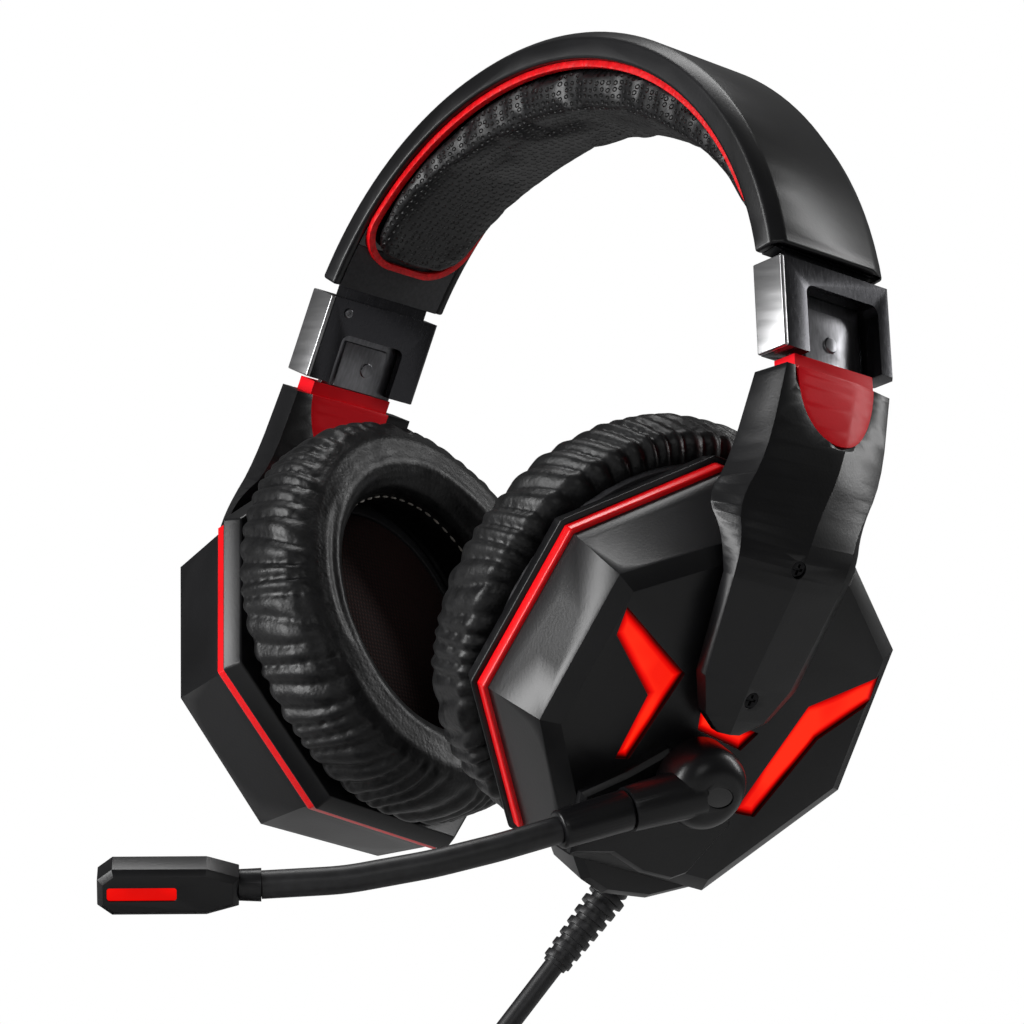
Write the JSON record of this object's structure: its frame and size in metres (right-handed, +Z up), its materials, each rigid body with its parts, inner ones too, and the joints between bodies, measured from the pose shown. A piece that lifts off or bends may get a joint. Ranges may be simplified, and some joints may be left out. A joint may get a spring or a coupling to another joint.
{
  "type": "over-ear gaming headset",
  "caption": "Over-ear headset with a padded arched headband, sliding yoke arms, tilting faceted cups with lit panels, a swinging boom microphone and a coiled USB cord.",
  "frame": {"origin": "underside of the crown pad at its middle, where the wearer's head carries the headset", "axes": "+X to the wearer's left (microphone and cord side), -Y to the wearer's front, +Z up"},
  "size_m": [0.1942, 0.1627, 0.2583],
  "materials": {
    "shell_black": "satin moulded ABS, fine texture",
    "liner_black": "gloss black ABS",
    "red_satin": "satin red ABS",
    "red_ring": "gloss red ABS",
    "light_guide": "translucent red light guide, lit",
    "gunmetal": "gunmetal paint on zinc casting",
    "silver": "satin silver trim",
    "steel": "brushed steel",
    "screw_black": "black oxide screw",
    "pu_leather": "soft PU leather over foam",
    "red_piping": "red piping",
    "cloth": "dark maroon acoustic cloth",
    "inner_plastic": "plain moulded plastic",
    "board": "printed circuit board",
    "rubber": "moulded soft PVC"
  },
  "bodies": {
    "headband": {"headband_shell": "shell_black", "headband_liner": "liner_black", "headband_spring": "steel", "headband_ends": "inner_plastic", "headband_piping": "red_piping", "crown_pad": "pu_leather", "bracket_left": "gunmetal", "bracket_right": "gunmetal", "bracket_faces": "silver", "bracket_screws": "steel"},
    "left_arm": {"arm_left": "shell_black", "arm_insert_left": "red_satin", "arm_screws_left": "screw_black", "slider_plate_left": "steel", "pivot_plate_left": "steel", "tilt_pin_left": "steel"},
    "left_cup": {"cup_shell_left": "shell_black", "light_guides_left": "light_guide", "accent_ring_left": "red_ring", "housing_left": "shell_black", "baffle_left": "inner_plastic", "driver_left": "steel", "light_board_left": "board", "cushion_carrier_left": "inner_plastic", "speaker_cloth_left": "cloth", "ear_cushion_left": "pu_leather", "mic_base": "shell_black", "cord_gland": "shell_black", "cord_relief": "rubber", "cord": "rubber", "cord_coil": "rubber", "cord_tail": "rubber", "cord_tie": "rubber", "plug_body": "rubber", "plug_shell": "steel"},
    "microphone": {"mic_hub": "shell_black", "mic_hub_cap": "liner_black", "boom_sleeve": "shell_black", "boom_tube": "rubber", "mic_collar": "shell_black", "mic_housing": "shell_black", "mic_light": "light_guide", "mic_capsule": "inner_plastic"},
    "right_arm": {"arm_right": "shell_black", "arm_insert_right": "red_satin", "arm_screws_right": "screw_black", "slider_plate_right": "steel", "pivot_plate_right": "steel", "tilt_pin_right": "steel"},
    "right_cup": {"cup_shell_right": "shell_black", "light_guides_right": "light_guide", "accent_ring_right": "red_ring", "housing_right": "shell_black", "baffle_right": "inner_plastic", "driver_right": "steel", "light_board_right": "board", "cushion_carrier_right": "inner_plastic", "speaker_cloth_right": "cloth", "ear_cushion_right": "pu_leather"}
  },
  "joints": [
    {"name": "size_slide_left", "type": "slide", "parent": "headband", "child": "left_arm", "axis": [0.2656, 0, -0.9641], "range_m": [0, 0.02]},
    {"name": "size_slide_right", "type": "slide", "parent": "headband", "child": "right_arm", "axis": [-0.2656, 0, -0.9641], "range_m": [0, 0.02]},
    {"name": "cup_tilt_left", "type": "hinge", "parent": "left_arm", "child": "left_cup", "pos_m": [0.07694, -0.00854, -0.11563], "axis": [-0.0837, -0.9965, 0], "range_deg": [-5, 9]},
    {"name": "cup_tilt_right", "type": "hinge", "parent": "right_arm", "child": "right_cup", "pos_m": [-0.07694, -0.00854, -0.11563], "axis": [-0.0837, 0.9965, 0], "range_deg": [-5, 9]},
    {"name": "mic_swing", "type": "hinge", "parent": "left_cup", "child": "microphone", "pos_m": [0.07099, -0.01165, -0.15019], "axis": [-0.9159, 0.0769, 0.3939], "range_deg": [-20, 60]}
  ]
}
